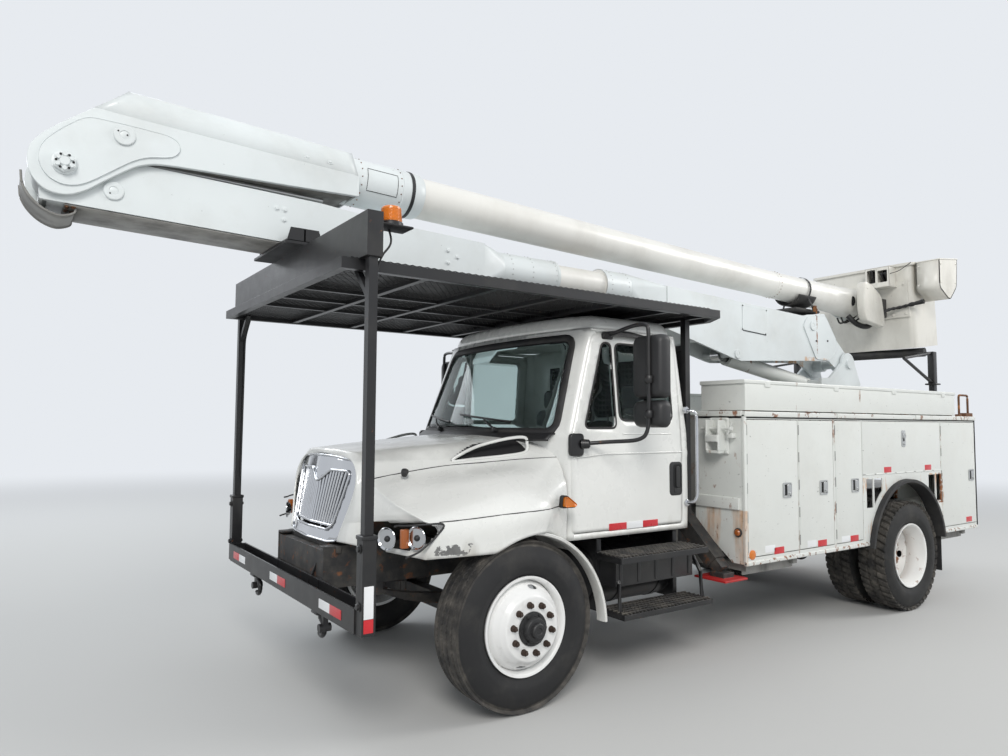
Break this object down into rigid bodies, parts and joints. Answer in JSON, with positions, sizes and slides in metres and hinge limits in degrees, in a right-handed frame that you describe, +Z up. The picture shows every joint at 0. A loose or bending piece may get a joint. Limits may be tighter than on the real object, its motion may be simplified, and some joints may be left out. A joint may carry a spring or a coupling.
{
  "type": "bucket truck",
  "caption": "Utility truck with a conventional cab, compartment side packs, outriggers and an articulated two-arm boom that carries a worker's bucket.",
  "frame": {"origin": "middle of the whole truck's outline at ground level, booms stowed", "axes": "+X towards the front bumper, +Y to the driver's left side, +Z up"},
  "size_m": [9.23, 2.88, 3.6964],
  "materials": {
    "white_paint": "gloss",
    "boom_paint": "satin",
    "insulated_boom": "satin",
    "black_paint": "satin",
    "grey_paint": "satin",
    "rim_paint": "satin",
    "tyre": "matte",
    "rubber": "matte",
    "glass": "gloss",
    "lamp_glass": "gloss",
    "amber": "gloss",
    "trim_grey": "matte",
    "chrome": "polished",
    "cast_iron": "rough",
    "bright_steel": "satin",
    "mesh_steel": "matte",
    "bucket_plastic": "gloss"
  },
  "bodies": {
    "chassis": {"frame": "black_paint", "front_axle": "black_paint", "rear_axle": "black_paint", "powertrain": "cast_iron", "side_steps": "black_paint", "cab": "white_paint", "cab_glass": "glass", "cab_interior": "trim_grey", "boom_rest": "black_paint", "deck": "black_paint", "beacons": "amber", "body_left": "white_paint", "body_right": "white_paint", "top_boxes": "white_paint", "bed": "mesh_steel", "arch_flares": "rubber", "pedestal": "white_paint", "bucket_rest": "black_paint"},
    "hood": {"hood": "white_paint", "fender_flares": "white_paint", "grille": "chrome", "headlights": "lamp_glass"},
    "turntable": {"turntable": "white_paint"},
    "lower_boom": {"lower_boom": "boom_paint"},
    "elbow_disc": {"elbow_disc": "boom_paint"},
    "upper_boom": {"upper_boom": "insulated_boom"},
    "lift_barrel": {"lift_barrel": "white_paint"},
    "lift_rod": {"lift_rod": "bright_steel"},
    "bucket": {"bucket": "bucket_plastic", "bucket_controls": "bucket_plastic"},
    "door_left": {"door_left": "white_paint", "door_glass_left": "glass"},
    "knuckle_left": {"knuckle_left": "black_paint"},
    "wheel_front_left": {"tyre_front_left": "tyre", "rim_front_left": "rim_paint"},
    "outrigger_front_left": {"outrigger_front_left": "black_paint"},
    "wheel_rear_left": {"tyre_rear_left": "tyre", "rim_rear_left": "rim_paint"},
    "outrigger_rear_left": {"outrigger_rear_left": "black_paint"},
    "compartment_front_left": {"compartment_front_left": "white_paint"},
    "compartment_second_left": {"compartment_second_left": "white_paint"},
    "compartment_third_left": {"compartment_third_left": "white_paint"},
    "compartment_long_left": {"compartment_long_left": "white_paint"},
    "compartment_rear_left": {"compartment_rear_left": "white_paint"},
    "door_right": {"door_right": "white_paint", "door_glass_right": "glass"},
    "knuckle_right": {"knuckle_right": "black_paint"},
    "wheel_front_right": {"tyre_front_right": "tyre", "rim_front_right": "rim_paint"},
    "outrigger_front_right": {"outrigger_front_right": "black_paint"},
    "wheel_rear_right": {"tyre_rear_right": "tyre", "rim_rear_right": "rim_paint"},
    "outrigger_rear_right": {"outrigger_rear_right": "black_paint"},
    "compartment_front_right": {"compartment_front_right": "white_paint"},
    "compartment_second_right": {"compartment_second_right": "white_paint"},
    "compartment_third_right": {"compartment_third_right": "white_paint"},
    "compartment_long_right": {"compartment_long_right": "white_paint"},
    "compartment_rear_right": {"compartment_rear_right": "white_paint"}
  },
  "joints": [
    {"name": "steer_left", "type": "hinge", "parent": "chassis", "child": "knuckle_left", "pos_m": [1.975, 0.84, 0.485], "axis": [0, 0, 1], "range_deg": [-35, 35]},
    {"name": "front_wheel_left", "type": "hinge", "parent": "knuckle_left", "child": "wheel_front_left", "pos_m": [1.975, 1.03, 0.512], "axis": [0, 1, 0], "continuous": true},
    {"name": "rear_wheel_left", "type": "hinge", "parent": "chassis", "child": "wheel_rear_left", "pos_m": [-2.505, 0.934, 0.512], "axis": [0, 1, 0], "continuous": true},
    {"name": "cab_door_left", "type": "hinge", "parent": "chassis", "child": "door_left", "pos_m": [1.517, 1.02, 1.6], "axis": [0, 0, -1], "range_deg": [0, 65]},
    {"name": "front_outrigger_left", "type": "slide", "parent": "chassis", "child": "outrigger_front_left", "axis": [0, 0.7234, -0.6905], "range_m": [0, 0.8]},
    {"name": "rear_outrigger_left", "type": "slide", "parent": "chassis", "child": "outrigger_rear_left", "axis": [0, 0, -1], "range_m": [0, 0.57]},
    {"name": "compartment_front_left_hinge", "type": "hinge", "parent": "chassis", "child": "compartment_front_left", "pos_m": [-0.057, 1.22, 1.25], "axis": [0, 0, -1], "range_deg": [0, 95]},
    {"name": "compartment_second_left_hinge", "type": "hinge", "parent": "chassis", "child": "compartment_second_left", "pos_m": [-0.727, 1.22, 1.25], "axis": [0, 0, -1], "range_deg": [0, 95]},
    {"name": "compartment_third_left_hinge", "type": "hinge", "parent": "chassis", "child": "compartment_third_left", "pos_m": [-1.254, 1.22, 1.25], "axis": [0, 0, -1], "range_deg": [0, 95]},
    {"name": "compartment_rear_left_hinge", "type": "hinge", "parent": "chassis", "child": "compartment_rear_left", "pos_m": [-3.149, 1.22, 1.25], "axis": [0, 0, -1], "range_deg": [0, 90]},
    {"name": "compartment_long_left_hinge", "type": "hinge", "parent": "chassis", "child": "compartment_long_left", "pos_m": [-2.4, 1.22, 1.298], "axis": [-1, 0, 0], "range_deg": [0, 90]},
    {"name": "steer_right", "type": "hinge", "parent": "chassis", "child": "knuckle_right", "pos_m": [1.975, -0.84, 0.485], "axis": [0, 0, 1], "range_deg": [-35, 35]},
    {"name": "front_wheel_right", "type": "hinge", "parent": "knuckle_right", "child": "wheel_front_right", "pos_m": [1.975, -1.03, 0.512], "axis": [0, 1, 0], "continuous": true},
    {"name": "rear_wheel_right", "type": "hinge", "parent": "chassis", "child": "wheel_rear_right", "pos_m": [-2.505, -0.934, 0.512], "axis": [0, 1, 0], "continuous": true},
    {"name": "cab_door_right", "type": "hinge", "parent": "chassis", "child": "door_right", "pos_m": [1.517, -1.02, 1.6], "axis": [0, 0, 1], "range_deg": [0, 65]},
    {"name": "front_outrigger_right", "type": "slide", "parent": "chassis", "child": "outrigger_front_right", "axis": [0, -0.7234, -0.6905], "range_m": [0, 0.8]},
    {"name": "rear_outrigger_right", "type": "slide", "parent": "chassis", "child": "outrigger_rear_right", "axis": [0, 0, -1], "range_m": [0, 0.57]},
    {"name": "compartment_front_right_hinge", "type": "hinge", "parent": "chassis", "child": "compartment_front_right", "pos_m": [-0.057, -1.22, 1.25], "axis": [0, 0, 1], "range_deg": [0, 95]},
    {"name": "compartment_second_right_hinge", "type": "hinge", "parent": "chassis", "child": "compartment_second_right", "pos_m": [-0.727, -1.22, 1.25], "axis": [0, 0, 1], "range_deg": [0, 95]},
    {"name": "compartment_third_right_hinge", "type": "hinge", "parent": "chassis", "child": "compartment_third_right", "pos_m": [-1.254, -1.22, 1.25], "axis": [0, 0, 1], "range_deg": [0, 95]},
    {"name": "compartment_rear_right_hinge", "type": "hinge", "parent": "chassis", "child": "compartment_rear_right", "pos_m": [-3.149, -1.22, 1.25], "axis": [0, 0, 1], "range_deg": [0, 90]},
    {"name": "compartment_long_right_hinge", "type": "hinge", "parent": "chassis", "child": "compartment_long_right", "pos_m": [-2.4, -1.22, 1.298], "axis": [1, 0, 0], "range_deg": [0, 90]},
    {"name": "hood_tilt", "type": "hinge", "parent": "chassis", "child": "hood", "pos_m": [2.925, 0, 0.8], "axis": [0, 1, 0], "range_deg": [0, 50]},
    {"name": "slew", "type": "hinge", "parent": "chassis", "child": "turntable", "pos_m": [-2.975, 0, 2], "axis": [0, 0, 1], "continuous": true},
    {"name": "lower_boom_lift", "type": "hinge", "parent": "turntable", "child": "lower_boom", "pos_m": [-3.215, 0, 2.427], "axis": [0, -1, 0], "range_deg": [0, 85]},
    {"name": "elbow_level", "type": "hinge", "parent": "lower_boom", "child": "elbow_disc", "pos_m": [4.405, 0, 3.114], "axis": [0, -1, 0], "range_deg": [-85, 0]},
    {"name": "upper_boom_lift", "type": "hinge", "parent": "elbow_disc", "child": "upper_boom", "pos_m": [4.405, 0, 3.114], "axis": [0, 1, 0], "range_deg": [0, 85]},
    {"name": "bucket_level", "type": "hinge", "parent": "upper_boom", "child": "bucket", "pos_m": [-3.645, 0, 3.192], "axis": [0, 1, 0], "range_deg": [-85, 0]},
    {"name": "lift_barrel_pivot", "type": "hinge", "parent": "turntable", "child": "lift_barrel", "pos_m": [-2.725, 0, 2.195], "axis": [0, -1, 0], "range_deg": [0, 90]},
    {"name": "lift_rod_stroke", "type": "slide", "parent": "lift_barrel", "child": "lift_rod", "axis": [0.9877, 0, 0.1563], "range_m": [0, 0.72]}
  ],
  "couplings": [
    {"joint": "steer_right", "follows": "steer_left", "ratio": 1},
    {"joint": "elbow_level", "follows": "lower_boom_lift", "ratio": -1},
    {"joint": "bucket_level", "follows": "upper_boom_lift", "ratio": -1},
    {"joint": "lift_barrel_pivot", "follows": "lower_boom_lift", "ratio": 1.0506},
    {"joint": "lift_rod_stroke", "follows": "lower_boom_lift", "m_per_rad": 0.485}
  ]
}
